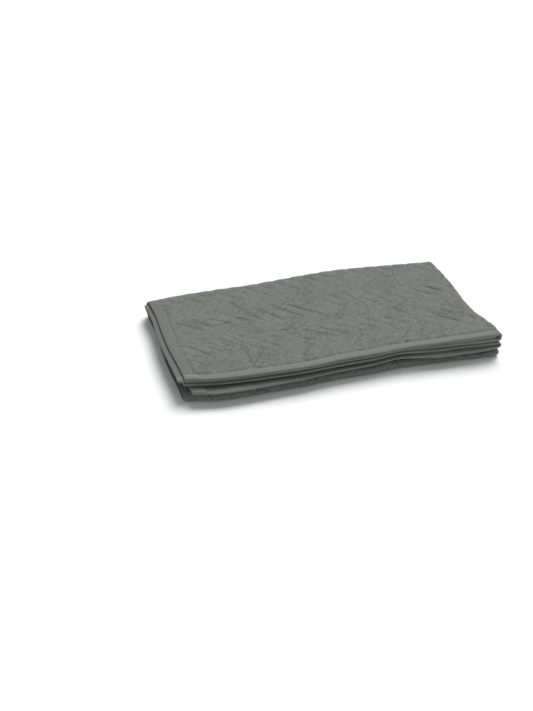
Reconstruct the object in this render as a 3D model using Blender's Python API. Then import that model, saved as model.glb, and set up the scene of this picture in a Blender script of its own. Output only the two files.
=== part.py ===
"""A quilted moving blanket, folded for the shelf: the quilted pad and the four tapes that bind it.

Each piece is first laid out flat, x across the blanket, y along it and z through its thickness.
One folding rule then carries every point of it to its place: in half across, with that fold on the
right, then in half and in half again along its length. Eight layers lie on each other.
"""
import math

import bmesh
import bpy

# Driving sizes, in metres
FOLDED_LENGTH = 0.634
FOLDED_DEPTH = 0.315
PITCH = 0.0069
CLOTH = 0.0046
RIM = 0.0026
TAPE = 0.0006
TAPE_EDGE = 0.0008
TAPE_WIDTH = 0.020
TOP_TAPE_WIDTH = 0.014
NOSE_START = 0.00025
NOSE_SHARE = 0.6
GAP = 0.00035

# Quilting: zigzag stitch lines that run along the blanket, and how far they are drawn in
STITCH_DEPTH = 0.0016
LINE_SPACING = 0.034
ZIGZAG_SWING = 0.020
ZIGZAG_FADE = 0.050
ZIGZAG_TURNS = (0.067, 0.110, 0.157, 0.205, 0.250)

# Where the cloth swells to its full thickness, from its edge inwards: sooner by the front edge of
# the top layer, where the tape is narrower
NARROWER = TAPE_WIDTH - TOP_TAPE_WIDTH
UNDER_TAPE = TAPE_WIDTH + 0.0005
FULL_THICKNESS = 0.034

# Steps of the folds, and the columns of the half that stays hidden
HAIRPIN_STEPS = 6
OUTER_TURN_STEPS = 8
INNER_TURN_STEPS = 6
HIDDEN_COLUMN = 0.060
PLAIN_ROWS = 3

# Each layer from the bottom: its middle's height at three places, how far the stack presses its
# thickness, and how far its left edge reaches past the top layer's at the front and at the back
LAYER_COLUMNS = ("front_left", "front_right", "back", "pressed", "left_front", "left_back")
LAYERS = (
    (0.00184, 0.00184, 0.00184, 0.80, 0.006, 0.003),
    (0.0070, 0.0060, 0.0076, 0.80, -0.005, 0.002),
    (0.0122, 0.0104, 0.0135, 0.80, -0.004, 0.001),
    (0.0175, 0.0150, 0.0193, 0.80, 0.006, 0.000),
    (0.0275, 0.0255, 0.0252, 0.90, -0.008, 0.000),
    (0.0372, 0.0322, 0.0312, 0.95, 0.003, 0.001),
    (0.0433, 0.0388, 0.0373, 1.00, 0.012, 0.009),
    (0.0482, 0.0520, 0.0437, 1.00, 0.000, 0.000),
)

# How far the front edges under the top one reach past it: three bound ones, and the lowest fold
FRONT_COLUMNS = ("along", "second", "third", "fourth", "fold")
FRONT_REACH = (
    (0.000, -0.001, 0.002, 0.018, 0.010),
    (0.070, -0.0015, 0.0012, 0.017, 0.011),
    (0.145, -0.001, 0.0022, 0.013, 0.0065),
    (0.222, -0.002, 0.001, 0.008, 0.003),
    (0.262, -0.001, 0.001, 0.006, 0.003),
    (0.310, 0.000, 0.003, 0.007, 0.0045),
    (0.366, 0.000, 0.002, 0.005, 0.005),
    (0.420, -0.0025, -0.0015, 0.001, 0.004),
    (0.460, -0.0025, -0.0005, 0.004, 0.003),
    (0.500, -0.0015, 0.002, 0.009, 0.003),
    (0.560, -0.0025, -0.0005, 0.007, 0.003),
    (0.634, -0.001, 0.001, 0.003, 0.004),
)

# The front and the back edge's places along the length, and the side edges' places in depth
LONG_COLUMNS = ("along", "front", "back")
LONG_EDGES = (
    (0.000, 0.000, 0.298),
    (0.056, -0.010, 0.306),
    (0.122, -0.013, 0.311),
    (0.182, -0.0133, 0.313),
    (0.222, -0.0138, 0.3145),
    (0.262, -0.0105, 0.3185),
    (0.303, -0.006, 0.3233),
    (0.366, -0.0035, 0.3293),
    (0.422, 0.000, 0.332),
    (0.486, -0.0015, 0.329),
    (0.541, -0.003, 0.325),
    (0.585, -0.005, 0.3215),
    (0.634, -0.004, 0.318),
)
SIDE_COLUMNS = ("depth", "left", "right")
SIDE_EDGES = (
    (0.000, 0.000, 0.000),
    (0.045, -0.006, -0.006),
    (0.088, -0.013, -0.017),
    (0.135, -0.019, -0.021),
    (0.185, -0.023, -0.020),
    (0.240, -0.027, -0.021),
    (0.315, -0.039, -0.028),
)

# Where along the front the heights begin to change from the left ones to the right ones. Then the
# soft swells and hollows of the upper layers: place, reach both ways and height, and how far up
# the stack they begin and the height over which they grow
SPREAD_START = 0.380
SWELL_FLOOR = 0.028
SWELL_RANGE = 0.020
SWELL_COLUMNS = ("along", "depth", "reach_along", "reach_depth", "rise")
SWELLS = (
    (0.585, 0.095, 0.045, 0.040, -0.0050),
    (0.600, 0.020, 0.060, 0.030, 0.0020),
    (0.420, 0.090, 0.120, 0.070, 0.0022),
    (0.300, 0.230, 0.110, 0.060, -0.0016),
    (0.150, 0.110, 0.090, 0.060, 0.0018),
    (0.040, 0.240, 0.070, 0.070, -0.0014),
)

HAIRPIN_RADIUS = PITCH / 2
HAIRPIN_HALF = HAIRPIN_RADIUS * math.pi / 2
FOLD_X = FOLDED_LENGTH - HAIRPIN_RADIUS - CLOTH / 2
HALF_WIDTH = FOLD_X + HAIRPIN_HALF
BACK_Y = FOLDED_DEPTH - 3.5 * PITCH - CLOTH / 2
FRONT_Y = 1.5 * PITCH + CLOTH / 2

COLOURS = {
    "quilted_pad": ((0.171, 0.185, 0.173), 0.92),
    "binding": ((0.205, 0.222, 0.205), 0.85),
}


def clear_scene():
    for item in list(bpy.data.objects):
        bpy.data.objects.remove(item, do_unlink=True)


def ease(share):
    share = min(1.0, max(0.0, share))
    return share * share * (3.0 - 2.0 * share)


def mix(first, second, share):
    return first + (second - first) * share


def read_row(table, columns, place, name):
    """A smooth curve through one column of a table, read at a place in its first column."""
    pick = columns.index(name)
    points = [(row[0], row[pick]) for row in table]
    last = len(points) - 1
    k = next((i for i in range(last) if place <= points[i + 1][0]), last - 1)
    (x0, y0), (x1, y1) = points[k], points[k + 1]
    before, after = points[max(k - 1, 0)], points[min(k + 2, last)]
    slope0 = (y1 - before[1]) / (x1 - before[0])
    slope1 = (after[1] - y0) / (after[0] - x0)
    if place < x0:
        return y0 + slope0 * (place - x0)
    if place > x1:
        return y1 + slope1 * (place - x1)
    step = x1 - x0
    t = (place - x0) / step
    return (y0 * (1 + 2 * t) * (1 - t) ** 2 + y1 * t * t * (3 - 2 * t)
            + step * slope0 * t * (1 - t) ** 2 - step * slope1 * t * t * (1 - t))


def path_pieces():
    """The doubled cloth's route in the Y Z plane, from one end of the blanket to the other.

    outer and inner name the layers of its two cloths at the piece's start and end, and front the
    columns that draw their front edges out, most of all where pulled says.
    """
    run_in = BACK_Y - FRONT_Y
    half_turn = math.pi * PITCH
    return (
        dict(kind="run", length=BACK_Y, y=0.0, z=7 * PITCH, way=1,
             outer=(7, 7), inner=(6, 6), front=("second", None), pulled="start"),
        dict(kind="turn", length=3 * half_turn, y=BACK_Y, z=4 * PITCH, radius=3 * PITCH,
             start=90, sweep=-180, face=1, outer=(7, 0), inner=(6, 1)),
        dict(kind="run", length=run_in, y=BACK_Y, z=PITCH, way=-1,
             outer=(0, 0), inner=(1, 1), front=("fold", "fold"), pulled="end"),
        dict(kind="turn", length=half_turn, y=FRONT_Y, z=2 * PITCH, radius=PITCH,
             start=-90, sweep=-180, face=1, outer=(0, 3), inner=(1, 2),
             front=("fold", "fold"), pulled="all"),
        dict(kind="run", length=run_in, y=FRONT_Y, z=3 * PITCH, way=1,
             outer=(3, 3), inner=(2, 2), front=("fold", "fold"), pulled="start"),
        dict(kind="turn", length=half_turn, y=BACK_Y, z=4 * PITCH, radius=PITCH,
             start=-90, sweep=180, face=-1, outer=(3, 4), inner=(2, 5)),
        dict(kind="run", length=BACK_Y, y=BACK_Y, z=5 * PITCH, way=-1,
             outer=(4, 4), inner=(5, 5), front=("third", "fourth"), pulled="end"),
    )


PATH = path_pieces()
PATH_LENGTH = sum(piece["length"] for piece in PATH)


def find_on_path(along):
    """The piece of the route at a distance along the blanket, and the distance into it."""
    start = 0.0
    for piece in PATH[:-1]:
        if along <= start + piece["length"]:
            return piece, along - start
        start += piece["length"]
    return PATH[-1], along - start


def path_point(piece, into, away):
    """A point beside the route, away from its middle line on the side that ends up outside."""
    if piece["kind"] == "run":
        return piece["y"] + piece["way"] * into, piece["z"] + piece["way"] * away
    angle = math.radians(piece["start"] + piece["sweep"] * into / piece["length"])
    radius = piece["radius"] + piece["face"] * away
    return piece["y"] + radius * math.cos(angle), piece["z"] + radius * math.sin(angle)


def cross_fold(across, through):
    """Fold across: the place along the stack, the distance from the pair's middle, and which of
    the pair the point is in, from 0 for the inner cloth to 1 for the outer one."""
    radius = HAIRPIN_RADIUS + through
    if abs(across) < HAIRPIN_HALF:
        angle = across / HAIRPIN_RADIUS
        outer_share = 0.5 + 0.5 * math.sin(angle)
        return FOLD_X + radius * math.cos(angle), radius * math.sin(angle), outer_share
    side = math.copysign(1.0, across)
    return FOLD_X - (abs(across) - HAIRPIN_HALF), side * radius, 0.5 + 0.5 * side


def layer_value(number, name):
    return LAYERS[number][LAYER_COLUMNS.index(name)]


def left_reach(piece, into, outer_share, y):
    """How far the left edge is drawn out here, eased from layer to layer round a turn."""
    deep = ease(y / FOLDED_DEPTH)

    def reach(number):
        return mix(layer_value(number, "left_front"), layer_value(number, "left_back"), deep)

    share = ease(into / piece["length"])
    inner, outer = (mix(reach(first), reach(last), share)
                    for first, last in (piece["inner"], piece["outer"]))
    return mix(inner, outer, outer_share)


def front_reach(piece, into, outer_share, x):
    """How far a front edge is drawn out past the top layer's."""
    if "front" not in piece:
        return 0.0
    share = into / piece["length"]
    pull = {"start": 1.0 - share, "end": share, "all": 1.0}[piece["pulled"]]
    inner, outer = (0.0 if name is None else read_row(FRONT_REACH, FRONT_COLUMNS, x, name)
                    for name in piece["front"])
    return mix(inner, outer, outer_share) * max(0.0, pull) ** 2


def swell(x, y):
    """Sum of the soft swells and hollows at a place."""
    total = 0.0
    for row in SWELLS:
        value = dict(zip(SWELL_COLUMNS, row))
        far = math.hypot((x - value["along"]) / value["reach_along"],
                         (y - value["depth"]) / value["reach_depth"])
        total += value["rise"] * math.exp(-far * far)
    return total


def settle(x, y, z):
    """The height of a point once the layers lie as they do in the stack."""
    along = ease((x - SPREAD_START) / (FOLDED_LENGTH - SPREAD_START))
    deep = ease(y / FOLDED_DEPTH)
    knots = []
    for number in range(len(LAYERS)):
        front = mix(layer_value(number, "front_left"), layer_value(number, "front_right"), along)
        middle = mix(front, layer_value(number, "back"), deep)
        half = CLOTH / 2 * layer_value(number, "pressed")
        flat = (number + 0.5) * PITCH
        knots.append((flat - CLOTH / 2, middle - half))
        knots.append((flat + CLOTH / 2, middle + half))
    k = next((i for i in range(len(knots) - 1) if z <= knots[i + 1][0]), len(knots) - 2)
    (z0, h0), (z1, h1) = knots[k], knots[k + 1]
    height = h0 + (h1 - h0) * (z - z0) / (z1 - z0)
    share = ease((height - SWELL_FLOOR) / SWELL_RANGE)
    return height + swell(x, y) * share


def outline(x, y):
    """Skew and wave the folded stack's outline, as it was laid down by hand."""
    along = x / FOLDED_LENGTH
    left = read_row(SIDE_EDGES, SIDE_COLUMNS, y, "left")
    right = read_row(SIDE_EDGES, SIDE_COLUMNS, y, "right")
    front = read_row(LONG_EDGES, LONG_COLUMNS, x, "front")
    back = read_row(LONG_EDGES, LONG_COLUMNS, x, "back")
    return x + mix(left, right, along), mix(front, back, y / FOLDED_DEPTH)


def fold(point):
    """Carry one point of the flat blanket to its place in the folded one."""
    across, along, through = point
    x, away, outer_share = cross_fold(across, through)
    piece, into = find_on_path(along)
    y, z = path_point(piece, into, away)
    from_fold = max(0.0, FOLD_X - x) / FOLD_X
    x -= left_reach(piece, into, outer_share, y) * from_fold ** 2
    y -= front_reach(piece, into, outer_share, x)
    height = settle(x, y, z)
    x, y = outline(x, y)
    return x, y, height


def spaced(start, end, step):
    """Even places strictly between two others, about a step apart."""
    count = max(1, round((end - start) / step))
    return [mix(start, end, i / count) for i in range(1, count)]


def pad_columns():
    """Places across the flat blanket: the hidden half, the fold, and the half that shows."""
    turn = [HAIRPIN_HALF * (2 * i / HAIRPIN_STEPS - 1) for i in range(HAIRPIN_STEPS + 1)]
    full = HALF_WIDTH - FULL_THICKNESS
    edge = [full, HALF_WIDTH - UNDER_TAPE, HALF_WIDTH]
    shown = spaced(HAIRPIN_HALF, full, LINE_SPACING / 2)
    hidden = spaced(HAIRPIN_HALF, full, HIDDEN_COLUMN)
    return [-v for v in reversed(edge)] + [-v for v in reversed(hidden)] + turn + shown + edge


def pad_rows():
    """Places along the flat blanket: zigzag turns on the top layer, steps round each fold."""
    rows = [0.0, UNDER_TAPE - NARROWER, FULL_THICKNESS - NARROWER, *ZIGZAG_TURNS]
    start = PATH[0]["length"]
    for number, piece in enumerate(PATH[1:]):
        steps = PLAIN_ROWS
        if piece["kind"] == "turn":
            steps = OUTER_TURN_STEPS if number == 0 else INNER_TURN_STEPS
        rows += [start + piece["length"] * i / steps for i in range(steps)]
        start += piece["length"]
    return rows + [PATH_LENGTH - FULL_THICKNESS, PATH_LENGTH - UNDER_TAPE, PATH_LENGTH]


def half_thickness(across, along):
    """Half the cloth's thickness: thin where the tape is sewn over it, full further in."""
    inwards = min(HALF_WIDTH - abs(across), along + NARROWER, PATH_LENGTH - along)
    share = (inwards - UNDER_TAPE) / (FULL_THICKNESS - UNDER_TAPE)
    return mix(RIM, CLOTH, min(1.0, max(0.0, share))) / 2


def zigzag(row):
    """Which way a row of the top layer is swung: right and left in turn at the zigzag's turns."""
    return -1.0 if ZIGZAG_TURNS.index(row) % 2 == 0 else 1.0


def swing_fade(across):
    """The zigzag dies out at the fold and at the binding, where columns have to run straight."""
    from_fold = (across - HAIRPIN_HALF) / ZIGZAG_FADE
    from_edge = (HALF_WIDTH - FULL_THICKNESS - across) / ZIGZAG_FADE
    return ease(min(from_fold, from_edge))


def new_object(name, bm, colour):
    bmesh.ops.recalc_face_normals(bm, faces=bm.faces)
    if bm.calc_volume(signed=True) < 0.0:
        bmesh.ops.reverse_faces(bm, faces=bm.faces)
    bmesh.ops.triangulate(bm, faces=bm.faces)
    mesh = bpy.data.meshes.new(name)
    bm.to_mesh(mesh)
    bm.free()
    item = bpy.data.objects.new(name, mesh)
    bpy.context.scene.collection.objects.link(item)
    mesh.materials.append(material(colour))
    mesh.shade_smooth()
    mesh.set_sharp_from_angle(angle=math.radians(40))
    return item


def material(name):
    found = bpy.data.materials.get(name)
    if found:
        return found
    made = bpy.data.materials.new(name)
    made.use_nodes = True
    shader = made.node_tree.nodes["Principled BSDF"]
    colour, roughness = COLOURS[name]
    shader.inputs["Base Color"].default_value = (*colour, 1.0)
    shader.inputs["Roughness"].default_value = roughness
    shader.inputs["Metallic"].default_value = 0.0
    made.diffuse_color = (*colour, 1.0)
    return made


def quilted_pad():
    """The quilted cloth: a grid laid flat, given its thickness and its stitch lines, and folded."""
    columns, rows = pad_columns(), pad_rows()
    first_line = columns.index(HAIRPIN_HALF)
    bm = bmesh.new()
    bmesh.ops.create_grid(bm, x_segments=len(columns) - 1, y_segments=len(rows) - 1, size=0.5)
    made = bmesh.ops.extrude_face_region(bm, geom=list(bm.faces))
    outer = {item for item in made["geom"] if isinstance(item, bmesh.types.BMVert)}
    for vert in bm.verts:
        i = round((vert.co.x + 0.5) * (len(columns) - 1))
        j = round((vert.co.y + 0.5) * (len(rows) - 1))
        across, along = columns[i], rows[j]
        through = half_thickness(across, along)
        if along in ZIGZAG_TURNS and across > HAIRPIN_HALF:
            fade = swing_fade(across)
            if (i - first_line) % 2 == 0 and vert in outer:
                through -= STITCH_DEPTH * fade
            across += ZIGZAG_SWING * zigzag(along) * fade
        vert.co = fold((across, along, through if vert in outer else -through))
    return new_object("quilted_pad", bm, "quilted_pad")


def tape_section(width):
    """Outside and inside of a tape folded over an edge: distance inwards, and through it."""
    inside = RIM / 2 + GAP
    outside = inside + TAPE
    nose = -(GAP + TAPE_EDGE)
    outer = ((width, outside), (-NOSE_START, outside), (nose, outside * NOSE_SHARE),
             (nose, -outside * NOSE_SHARE), (-NOSE_START, -outside), (width, -outside))
    inner = ((width, inside), (-GAP, inside), (-GAP, -inside), (width, -inside))
    return outer, inner


def join(bm, first, second):
    """Faces between two rows of points of the same length."""
    for k in range(len(first) - 1):
        bm.faces.new((first[k], first[k + 1], second[k + 1], second[k]))


def tape(name, places, width, place_point, closed_ends):
    """A tape folded over an edge of the blanket, closed over the corners or open at its ends."""
    outer, inner = tape_section(width)
    outer_places, inner_places = list(places), list(places)
    if closed_ends:
        outer_places[0] -= GAP + TAPE_EDGE
        outer_places[-1] += GAP + TAPE_EDGE
        inner_places[0] -= GAP
        inner_places[-1] += GAP
    bm = bmesh.new()
    outside = [[bm.verts.new(fold(place_point(at, e, through))) for e, through in outer]
               for at in outer_places]
    inside = [[bm.verts.new(fold(place_point(at, e, through))) for e, through in inner]
              for at in inner_places]
    for before, after in zip(outside, outside[1:]):
        join(bm, before, after)
    for before, after in zip(inside, inside[1:]):
        join(bm, after, before)
    for side in (0, -1):
        join(bm, [ring[side] for ring in outside], [ring[side] for ring in inside])
        if closed_ends:
            bm.faces.new(outside[side])
            bm.faces.new(inside[side])
            bm.faces.new((outside[side][0], outside[side][-1], inside[side][-1], inside[side][0]))
        else:
            bm.faces.new((*outside[side], *reversed(inside[side])))
    return new_object(name, bm, "binding")


def end_tapes():
    """The tapes on the two ends of the blanket, which run on over its corners."""
    places = pad_columns()
    tape("end_binding_top", places, TOP_TAPE_WIDTH,
         lambda at, e, through: (at, e, through), True)
    tape("end_binding_inner", places, TAPE_WIDTH,
         lambda at, e, through: (at, PATH_LENGTH - e, through), True)


def side_tapes():
    """The tapes on the two sides, which stop at the end tapes."""
    rows = [at for at in pad_rows() if UNDER_TAPE - NARROWER < at < PATH_LENGTH - UNDER_TAPE]
    places = [TOP_TAPE_WIDTH + GAP, *rows, PATH_LENGTH - TAPE_WIDTH - GAP]
    tape("side_binding_outer", places, TAPE_WIDTH,
         lambda at, e, through: (HALF_WIDTH - e, at, through), False)
    tape("side_binding_inner", places, TAPE_WIDTH,
         lambda at, e, through: (e - HALF_WIDTH, at, through), False)


def centre_on_floor():
    """Move everything so that the origin is under the middle of the stack."""
    items = [item for item in bpy.context.scene.objects if item.type == "MESH"]
    points = [vert.co for item in items for vert in item.data.vertices]
    low = [min(point[k] for point in points) for k in range(3)]
    high = [max(point[k] for point in points) for k in range(3)]
    shift = ((low[0] + high[0]) / 2, (low[1] + high[1]) / 2, low[2])
    for item in items:
        for vert in item.data.vertices:
            vert.co = [vert.co[k] - shift[k] for k in range(3)]
    print("moved by", [round(-value, 6) for value in shift],
          "size", [round(high[k] - low[k], 5) for k in range(3)])


clear_scene()
quilted_pad()
end_tapes()
side_tapes()
centre_on_floor()
for item in bpy.context.scene.objects:
    print(item.name, len(item.data.polygons), "triangles")
print("flat size", round(2 * HALF_WIDTH, 4), "by", round(PATH_LENGTH, 4))
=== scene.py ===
# %% [markdown]
# # A quilted moving blanket, folded for the shelf
#
# A moving blanket is two woven cotton cloths with a felted filling between them, quilted together
# by machine and bound round its edge with tape. This one is folded in half across, and then in
# half and in half again along its length, so eight layers lie on each other.
#
# The script first loads the solids of the blanket as a fixed frame. It then makes the cloth, the
# tapes and the sewing thread as fine meshes that take the solids' places.

# %% Load the frame
import math

import bmesh
import bpy
from mathutils import Euler, Matrix, Vector, noise


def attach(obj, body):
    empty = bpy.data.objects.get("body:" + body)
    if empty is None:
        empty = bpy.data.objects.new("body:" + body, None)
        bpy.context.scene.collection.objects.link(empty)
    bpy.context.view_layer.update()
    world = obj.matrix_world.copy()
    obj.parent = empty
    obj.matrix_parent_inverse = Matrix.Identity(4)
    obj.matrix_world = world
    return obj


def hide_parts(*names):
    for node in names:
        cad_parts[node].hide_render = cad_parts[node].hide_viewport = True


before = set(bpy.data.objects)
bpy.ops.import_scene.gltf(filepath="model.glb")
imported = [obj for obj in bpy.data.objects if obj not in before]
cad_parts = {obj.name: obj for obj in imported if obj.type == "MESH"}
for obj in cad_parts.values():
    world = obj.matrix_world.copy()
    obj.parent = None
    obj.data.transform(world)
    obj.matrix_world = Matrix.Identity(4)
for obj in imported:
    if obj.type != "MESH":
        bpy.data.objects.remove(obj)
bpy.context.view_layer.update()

# %% [markdown]
# ## The sizes
#
# Everything is worked out from the same few sizes as the solids, in metres. The pitch is the
# distance from one layer's middle to the next one's before the stack settles. The tape is folded
# over the rim of the cloth, which is sewn thin there. The one on the top layer's front edge shows
# less of its width, as it was sewn further over the edge.

# %% Driving sizes
FOLDED_LENGTH = 0.634
FOLDED_DEPTH = 0.315
PITCH = 0.0069
CLOTH = 0.0046
RIM = 0.0026
TAPE = 0.0006
TAPE_EDGE = 0.0008
TAPE_WIDTH = 0.020
TOP_TAPE_WIDTH = 0.014
GAP = 0.00035
UNDER_TAPE = TAPE_WIDTH + 0.0005
NARROWER = TAPE_WIDTH - TOP_TAPE_WIDTH
HAIRPIN_RADIUS = PITCH / 2
HAIRPIN_HALF = HAIRPIN_RADIUS * math.pi / 2
FOLD_X = FOLDED_LENGTH - HAIRPIN_RADIUS - CLOTH / 2
HALF_WIDTH = FOLD_X + HAIRPIN_HALF
BACK_Y = FOLDED_DEPTH - 3.5 * PITCH - CLOTH / 2
FRONT_Y = 1.5 * PITCH + CLOTH / 2
print("half the flat blanket is", round(HALF_WIDTH, 4), "wide")

# %% [markdown]
# ## How the layers lie
#
# A folded blanket is never square. Short tables hold what was read off the real one: how high
# each layer lies, how far each edge reaches past the top one's, and how the outline is skewed.
# A smooth curve runs through each column of a table, so a few rows are enough.

# %% Tables of the folded stack
LAYER_COLUMNS = ("front_left", "front_right", "back", "pressed", "left_front", "left_back")
LAYERS = (
    (0.00184, 0.00184, 0.00184, 0.80, 0.006, 0.003),
    (0.0070, 0.0060, 0.0076, 0.80, -0.005, 0.002),
    (0.0122, 0.0104, 0.0135, 0.80, -0.004, 0.001),
    (0.0175, 0.0150, 0.0193, 0.80, 0.006, 0.000),
    (0.0275, 0.0255, 0.0252, 0.90, -0.008, 0.000),
    (0.0372, 0.0322, 0.0312, 0.95, 0.003, 0.001),
    (0.0433, 0.0388, 0.0373, 1.00, 0.012, 0.009),
    (0.0482, 0.0520, 0.0437, 1.00, 0.000, 0.000),
)
FRONT_COLUMNS = ("along", "second", "third", "fourth", "fold")
FRONT_REACH = (
    (0.000, -0.001, 0.002, 0.018, 0.010),
    (0.070, -0.0015, 0.0012, 0.017, 0.011),
    (0.145, -0.001, 0.0022, 0.013, 0.0065),
    (0.222, -0.002, 0.001, 0.008, 0.003),
    (0.262, -0.001, 0.001, 0.006, 0.003),
    (0.310, 0.000, 0.003, 0.007, 0.0045),
    (0.366, 0.000, 0.002, 0.005, 0.005),
    (0.420, -0.0025, -0.0015, 0.001, 0.004),
    (0.460, -0.0025, -0.0005, 0.004, 0.003),
    (0.500, -0.0015, 0.002, 0.009, 0.003),
    (0.560, -0.0025, -0.0005, 0.007, 0.003),
    (0.634, -0.001, 0.001, 0.003, 0.004),
)
LONG_COLUMNS = ("along", "front", "back")
LONG_EDGES = (
    (0.000, 0.000, 0.298),
    (0.056, -0.010, 0.306),
    (0.122, -0.013, 0.311),
    (0.182, -0.0133, 0.313),
    (0.222, -0.0138, 0.3145),
    (0.262, -0.0105, 0.3185),
    (0.303, -0.006, 0.3233),
    (0.366, -0.0035, 0.3293),
    (0.422, 0.000, 0.332),
    (0.486, -0.0015, 0.329),
    (0.541, -0.003, 0.325),
    (0.585, -0.005, 0.3215),
    (0.634, -0.004, 0.318),
)
SIDE_COLUMNS = ("depth", "left", "right")
SIDE_EDGES = (
    (0.000, 0.000, 0.000),
    (0.045, -0.006, -0.006),
    (0.088, -0.013, -0.017),
    (0.135, -0.019, -0.021),
    (0.185, -0.023, -0.020),
    (0.240, -0.027, -0.021),
    (0.315, -0.039, -0.028),
)
SPREAD_START = 0.380
SWELL_FLOOR = 0.028
SWELL_RANGE = 0.020
SWELLS = (  # along, depth, reach along, reach in depth, rise
    (0.585, 0.095, 0.045, 0.040, -0.0050),
    (0.600, 0.020, 0.060, 0.030, 0.0020),
    (0.420, 0.090, 0.120, 0.070, 0.0022),
    (0.300, 0.230, 0.110, 0.060, -0.0016),
    (0.150, 0.110, 0.090, 0.060, 0.0018),
    (0.040, 0.240, 0.070, 0.070, -0.0014),
)
CORNER = Vector((0.294106, 0.151010, 0.0))  # from the top layer's front left corner to the origin
print(len(LAYERS), "layers")


# %% Reading a table
def ease(share):
    share = min(1.0, max(0.0, share))
    return share * share * (3.0 - 2.0 * share)


def mix(first, second, share):
    return first + (second - first) * share


def curve_through(table, columns, name):
    """A smooth curve through one column of a table, as a function of its first column."""
    pick = columns.index(name)
    points = [(row[0], row[pick]) for row in table]
    last = len(points) - 1

    def read(place):
        k = next((i for i in range(last) if place <= points[i + 1][0]), last - 1)
        (x0, y0), (x1, y1) = points[k], points[k + 1]
        before, after = points[max(k - 1, 0)], points[min(k + 2, last)]
        slope0 = (y1 - before[1]) / (x1 - before[0])
        slope1 = (after[1] - y0) / (after[0] - x0)
        if place < x0:
            return y0 + slope0 * (place - x0)
        if place > x1:
            return y1 + slope1 * (place - x1)
        step = x1 - x0
        t = (place - x0) / step
        return (y0 * (1 + 2 * t) * (1 - t) ** 2 + y1 * t * t * (3 - 2 * t)
                + step * slope0 * t * (1 - t) ** 2 - step * slope1 * t * t * (1 - t))

    return read


REACH = {name: curve_through(FRONT_REACH, FRONT_COLUMNS, name) for name in FRONT_COLUMNS[1:]}
FRONT_EDGE = curve_through(LONG_EDGES, LONG_COLUMNS, "front")
BACK_EDGE = curve_through(LONG_EDGES, LONG_COLUMNS, "back")
LEFT_EDGE = curve_through(SIDE_EDGES, SIDE_COLUMNS, "left")
RIGHT_EDGE = curve_through(SIDE_EDGES, SIDE_COLUMNS, "right")
print("front edge half way along:", round(FRONT_EDGE(FOLDED_LENGTH / 2), 4))

# %% [markdown]
# ## The folding rule
#
# Each piece is modelled flat, as it is cut: x across the blanket, y along it and z through it.
# One rule then carries every point to its place in the stack. The doubled cloth follows a route
# of straight runs and half turns, seen from the side. An art tool would bend a sheet by hand or
# simulate it. A rule is used here because the tapes, the cloth and the thread must all be bent
# alike, and the solids were bent by the same rule.


# %% The doubled cloth's route, seen from the side
def route():
    """Runs and turns, with the layers of the outer and inner cloth at each one's two ends, and
    the columns that draw their front edges out, most of all where pulled says."""
    run_in = BACK_Y - FRONT_Y
    half_turn = math.pi * PITCH
    return (
        dict(kind="run", length=BACK_Y, y=0.0, z=7 * PITCH, way=1,
             outer=(7, 7), inner=(6, 6), front=("second", None), pulled="start"),
        dict(kind="turn", length=3 * half_turn, y=BACK_Y, z=4 * PITCH, radius=3 * PITCH,
             start=90, sweep=-180, face=1, outer=(7, 0), inner=(6, 1)),
        dict(kind="run", length=run_in, y=BACK_Y, z=PITCH, way=-1,
             outer=(0, 0), inner=(1, 1), front=("fold", "fold"), pulled="end"),
        dict(kind="turn", length=half_turn, y=FRONT_Y, z=2 * PITCH, radius=PITCH,
             start=-90, sweep=-180, face=1, outer=(0, 3), inner=(1, 2),
             front=("fold", "fold"), pulled="all"),
        dict(kind="run", length=run_in, y=FRONT_Y, z=3 * PITCH, way=1,
             outer=(3, 3), inner=(2, 2), front=("fold", "fold"), pulled="start"),
        dict(kind="turn", length=half_turn, y=BACK_Y, z=4 * PITCH, radius=PITCH,
             start=-90, sweep=180, face=-1, outer=(3, 4), inner=(2, 5)),
        dict(kind="run", length=BACK_Y, y=BACK_Y, z=5 * PITCH, way=-1,
             outer=(4, 4), inner=(5, 5), front=("third", "fourth"), pulled="end"),
    )


PATH = route()
PATH_LENGTH = sum(piece["length"] for piece in PATH)
print("the flat blanket is", round(2 * HALF_WIDTH, 4), "by", round(PATH_LENGTH, 4))


# %% From the flat cloth to the route
def find_on_path(along):
    """The piece of the route at a distance along the blanket, and the distance into it."""
    start = 0.0
    for piece in PATH[:-1]:
        if along <= start + piece["length"]:
            return piece, along - start
        start += piece["length"]
    return PATH[-1], along - start


def path_point(piece, into, away):
    """A point beside the route, away from its middle line on the side that ends up outside."""
    if piece["kind"] == "run":
        return piece["y"] + piece["way"] * into, piece["z"] + piece["way"] * away
    angle = math.radians(piece["start"] + piece["sweep"] * into / piece["length"])
    radius = piece["radius"] + piece["face"] * away
    return piece["y"] + radius * math.cos(angle), piece["z"] + radius * math.sin(angle)


def cross_fold(across, through):
    """Fold across: the place along the stack, the distance from the pair's middle, and which of
    the pair the point is in, from 0 for the inner cloth to 1 for the outer one."""
    radius = HAIRPIN_RADIUS + through
    if abs(across) < HAIRPIN_HALF:
        angle = across / HAIRPIN_RADIUS
        outer_share = 0.5 + 0.5 * math.sin(angle)
        return FOLD_X + radius * math.cos(angle), radius * math.sin(angle), outer_share
    side = math.copysign(1.0, across)
    return FOLD_X - (abs(across) - HAIRPIN_HALF), side * radius, 0.5 + 0.5 * side


# %% How the edges are drawn out
def layer_value(number, name):
    return LAYERS[number][LAYER_COLUMNS.index(name)]


def left_reach(piece, into, outer_share, y):
    """How far the left edge is drawn out here, eased from layer to layer round a turn."""
    deep = ease(y / FOLDED_DEPTH)

    def reach(number):
        return mix(layer_value(number, "left_front"), layer_value(number, "left_back"), deep)

    share = ease(into / piece["length"])
    inner, outer = (mix(reach(first), reach(last), share)
                    for first, last in (piece["inner"], piece["outer"]))
    return mix(inner, outer, outer_share)


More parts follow.
